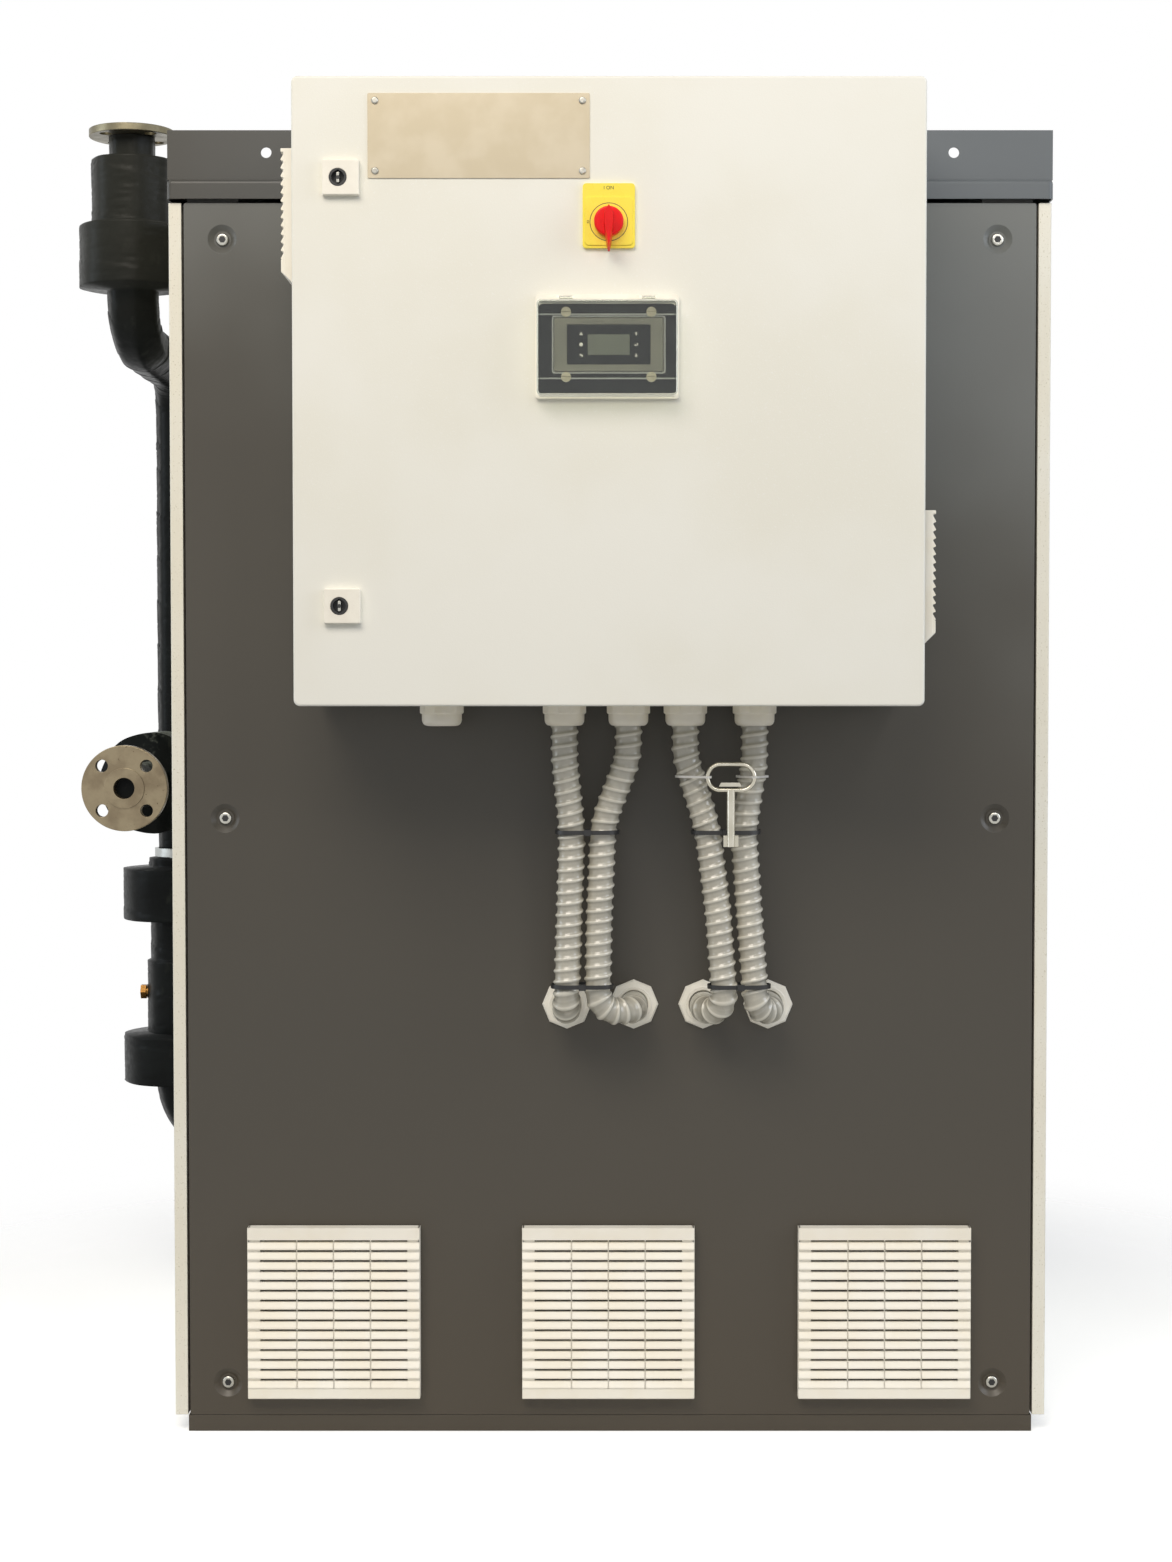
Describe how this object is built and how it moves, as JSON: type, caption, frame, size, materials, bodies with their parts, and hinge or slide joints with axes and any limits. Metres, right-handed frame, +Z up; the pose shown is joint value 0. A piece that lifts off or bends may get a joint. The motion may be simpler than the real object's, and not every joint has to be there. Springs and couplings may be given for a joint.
{
  "type": "commercial heat pump",
  "caption": "Floor-standing heat pump cabinet with a front electrical enclosure, ribbed conduits, louvred grilles and insulated water pipework on its left.",
  "frame": {"origin": "centre of the base's flat bottom face", "axes": "+Z up, +X to the right seen from the front, -Y to the front with the enclosure"},
  "size_m": [1.2129, 1.0306, 1.595],
  "materials": {
    "dark_panel": "satin powder coat",
    "hood_grey": "satin powder coat",
    "cream_board": "satin",
    "frame_steel": "satin",
    "light_grey_paint": "fine textured powder coat",
    "zinc_steel": "satin",
    "polished_steel": "polished",
    "flange_steel": "machined",
    "chrome": "polished",
    "brass": "cast",
    "copper": "satin",
    "white_plastic": "satin",
    "grille_plastic": "satin",
    "conduit_plastic": "gloss",
    "black_plastic": "satin",
    "grey_plastic": "satin",
    "yellow_plastic": "gloss",
    "red_plastic": "gloss",
    "clear_plastic": "clear",
    "black_rubber": "wrapped tape over foam",
    "dark_paint": "gloss",
    "filter_felt": "felt"
  },
  "bodies": {
    "cabinet": {"base_tray": "dark_panel", "welded_frame": "frame_steel", "front_panel": "dark_panel", "rear_panel": "dark_panel", "left_side_panel": "cream_board", "right_side_panel": "cream_board", "roof_hood": "hood_grey", "front_upstand": "hood_grey", "panel_screws": "polished_steel", "louvre_covers": "grille_plastic", "louvre_frames": "grille_plastic", "filter_mats": "filter_felt", "enclosure_box": "light_grey_paint", "mounting_plate": "zinc_steel", "wall_brackets": "zinc_steel", "side_grilles": "white_plastic", "fan_housing": "black_plastic", "din_rails": "zinc_steel", "switchgear": "grey_plastic", "terminal_blocks": "white_plastic", "wiring_ducts": "grey_plastic", "hinge_pins": "zinc_steel", "conduit_glands": "white_plastic", "conduit_pair_left": "conduit_plastic", "conduit_pair_right": "conduit_plastic", "conduit_nuts": "white_plastic", "cable_ties": "black_plastic", "key_ties": "white_plastic", "top_flange": "flange_steel", "front_flange": "flange_steel", "water_pipe": "flange_steel", "upper_insulation": "black_rubber", "riser_insulation": "black_rubber", "pipe_clamp": "zinc_steel", "strainer": "black_rubber", "strainer_plug": "brass", "compressor": "dark_paint", "heat_exchangers": "zinc_steel", "refrigerant_pipes": "copper"},
    "enclosure_door": {"door_panel": "light_grey_paint", "door_gasket": "black_rubber", "nameplate": "polished_steel", "door_fasteners": "polished_steel", "lock_housings": "white_plastic", "switch_plate": "yellow_plastic", "switch_body": "black_plastic", "window_frame": "clear_plastic", "display_module": "black_plastic"},
    "upper_lock": {"lock_upper": "chrome"},
    "lower_lock": {"lock_lower": "chrome"},
    "main_switch": {"switch_knob": "red_plastic"},
    "display_lid": {"window_lid": "clear_plastic"},
    "cooling_fan": {"fan_rotor": "black_plastic"},
    "hanging_key": {"door_key": "chrome"},
    "key_alarm": {"key_alarm": "grey_plastic"},
    "key_program": {"key_program": "grey_plastic"},
    "key_escape": {"key_escape": "grey_plastic"},
    "key_up": {"key_up": "grey_plastic"},
    "key_enter": {"key_enter": "grey_plastic"},
    "key_down": {"key_down": "grey_plastic"}
  },
  "joints": [
    {"name": "door_hinge", "type": "hinge", "parent": "cabinet", "child": "enclosure_door", "pos_m": [0.343, -0.585, 1.1705], "axis": [0, 0, 1], "range_deg": [0, 90]},
    {"name": "upper_lock_turn", "type": "hinge", "parent": "enclosure_door", "child": "upper_lock", "pos_m": [-0.296, -0.6, 1.44], "axis": [0, 1, 0], "range_deg": [0, 90]},
    {"name": "lower_lock_turn", "type": "hinge", "parent": "enclosure_door", "child": "lower_lock", "pos_m": [-0.296, -0.6, 0.9745], "axis": [0, 1, 0], "range_deg": [0, 90]},
    {"name": "main_switch_turn", "type": "hinge", "parent": "enclosure_door", "child": "main_switch", "pos_m": [-0.0013, -0.61, 1.392], "axis": [0, 1, 0], "range_deg": [0, 90]},
    {"name": "display_lid_hinge", "type": "hinge", "parent": "enclosure_door", "child": "display_lid", "pos_m": [-0.003, -0.6134, 1.30875], "axis": [1, 0, 0], "range_deg": [-100, 0]},
    {"name": "fan_spin", "type": "hinge", "parent": "cabinet", "child": "cooling_fan", "pos_m": [-0.32, -0.5085, 1.404], "axis": [1, 0, 0], "continuous": true},
    {"name": "key_swing", "type": "hinge", "parent": "cabinet", "child": "hanging_key", "pos_m": [0.137, -0.519, 0.784], "axis": [1, 0, 0], "range_deg": [-25, 0]},
    {"name": "key_alarm_press", "type": "slide", "parent": "enclosure_door", "child": "key_alarm", "axis": [0, 1, 0], "range_m": [0, 0.0008], "stiffness_N_per_m": 400},
    {"name": "key_program_press", "type": "slide", "parent": "enclosure_door", "child": "key_program", "axis": [0, 1, 0], "range_m": [0, 0.0008], "stiffness_N_per_m": 400},
    {"name": "key_escape_press", "type": "slide", "parent": "enclosure_door", "child": "key_escape", "axis": [0, 1, 0], "range_m": [0, 0.0008], "stiffness_N_per_m": 400},
    {"name": "key_up_press", "type": "slide", "parent": "enclosure_door", "child": "key_up", "axis": [0, 1, 0], "range_m": [0, 0.0008], "stiffness_N_per_m": 400},
    {"name": "key_enter_press", "type": "slide", "parent": "enclosure_door", "child": "key_enter", "axis": [0, 1, 0], "range_m": [0, 0.0008], "stiffness_N_per_m": 400},
    {"name": "key_down_press", "type": "slide", "parent": "enclosure_door", "child": "key_down", "axis": [0, 1, 0], "range_m": [0, 0.0008], "stiffness_N_per_m": 400}
  ]
}
